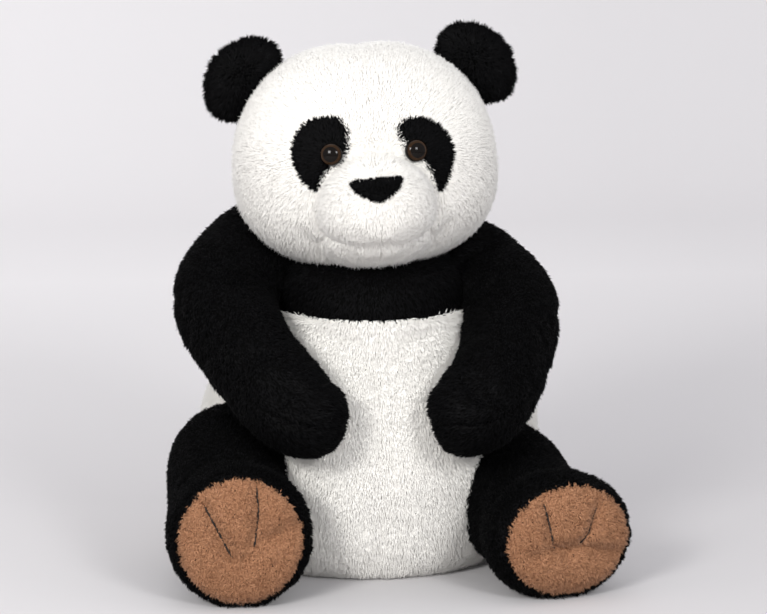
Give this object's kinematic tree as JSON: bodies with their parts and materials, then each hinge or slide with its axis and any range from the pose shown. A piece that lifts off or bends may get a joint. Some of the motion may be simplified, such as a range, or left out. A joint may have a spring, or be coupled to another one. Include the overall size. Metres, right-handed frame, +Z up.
{
  "type": "plush panda",
  "caption": "Large seated plush panda with stuffed head, belly, ears, arms and legs, black limbs and tan foot soles.",
  "frame": {"origin": "middle of the seat, on the surface that the panda sits on", "axes": "+Z up, the panda faces -Y, and its own left side is +X"},
  "size_m": [0.3604, 0.322, 0.4491],
  "materials": {
    "white_plush": "short soft pile",
    "black_plush": "short soft pile",
    "tan_plush": "very short curled pile",
    "stuffing": "loose polyester fibre",
    "eye_plastic": "polished",
    "washer_plastic": "moulded",
    "black_thread": "twisted thread"
  },
  "bodies": {
    "torso": {"belly_right": "white_plush", "belly_left": "white_plush", "back_right": "white_plush", "back_left": "white_plush", "seat_panel": "white_plush", "yoke_front": "black_plush", "yoke_back": "black_plush", "torso_stuffing": "stuffing"},
    "neck": {"neck_stuffing": "stuffing"},
    "head": {"face_right": "white_plush", "face_left": "white_plush", "muzzle_right": "white_plush", "muzzle_left": "white_plush", "head_back_right": "white_plush", "head_back_left": "white_plush", "head_stuffing": "stuffing", "nose": "black_plush", "eye_patch_right": "black_plush", "eye_patch_left": "black_plush", "eye_right": "eye_plastic", "eye_left": "eye_plastic", "eye_washer_right": "washer_plastic", "eye_washer_left": "washer_plastic"},
    "ear_right": {"ear_front_right": "black_plush", "ear_back_right": "black_plush", "ear_stuffing_right": "stuffing"},
    "ear_left": {"ear_front_left": "black_plush", "ear_back_left": "black_plush", "ear_stuffing_left": "stuffing"},
    "arm_right": {"arm_outer_right": "black_plush", "arm_inner_right": "black_plush", "arm_stuffing_right": "stuffing"},
    "arm_left": {"arm_outer_left": "black_plush", "arm_inner_left": "black_plush", "arm_stuffing_left": "stuffing"},
    "leg_right": {"leg_outer_right": "black_plush", "leg_inner_right": "black_plush", "foot_band_right": "black_plush", "sole_pad_right": "tan_plush", "toe_stitches_right": "black_thread", "leg_stuffing_right": "stuffing"},
    "leg_left": {"leg_outer_left": "black_plush", "leg_inner_left": "black_plush", "foot_band_left": "black_plush", "sole_pad_left": "tan_plush", "toe_stitches_left": "black_thread", "leg_stuffing_left": "stuffing"}
  },
  "joints": [
    {"name": "head_turn", "type": "hinge", "parent": "torso", "child": "neck", "pos_m": [0, -0.004, 0.256], "axis": [0, 0, 1], "range_deg": [-25, 25], "stiffness_Nm_per_rad": 0.6},
    {"name": "head_nod", "type": "hinge", "parent": "neck", "child": "head", "pos_m": [0, -0.004, 0.256], "axis": [1, 0, 0], "range_deg": [-10, 7], "stiffness_Nm_per_rad": 2.5},
    {"name": "ear_right_flex", "type": "hinge", "parent": "head", "child": "ear_right", "pos_m": [-0.09702, 0.00825, 0.40039], "axis": [0.6253, 0, 0.7804], "range_deg": [-20, 20], "stiffness_Nm_per_rad": 0.02},
    {"name": "ear_left_flex", "type": "hinge", "parent": "head", "child": "ear_left", "pos_m": [0.07978, 0.00825, 0.41058], "axis": [0.7108, 0, -0.7033], "range_deg": [-20, 20], "stiffness_Nm_per_rad": 0.02},
    {"name": "arm_right_raise", "type": "hinge", "parent": "torso", "child": "arm_right", "pos_m": [-0.106, 0, 0.245], "axis": [-0.9119, 0, -0.4104], "range_deg": [0, 50], "stiffness_Nm_per_rad": 0.9},
    {"name": "arm_left_raise", "type": "hinge", "parent": "torso", "child": "arm_left", "pos_m": [0.105, 0, 0.235], "axis": [-0.9119, 0, 0.4104], "range_deg": [0, 50], "stiffness_Nm_per_rad": 0.9},
    {"name": "leg_right_spread", "type": "hinge", "parent": "torso", "child": "leg_right", "pos_m": [-0.114, -0.07, 0.064], "axis": [0, 0, -1], "range_deg": [-6, 24], "stiffness_Nm_per_rad": 1.2},
    {"name": "leg_left_spread", "type": "hinge", "parent": "torso", "child": "leg_left", "pos_m": [0.103, -0.074, 0.064], "axis": [0, 0, 1], "range_deg": [-6, 24], "stiffness_Nm_per_rad": 1.2}
  ]
}
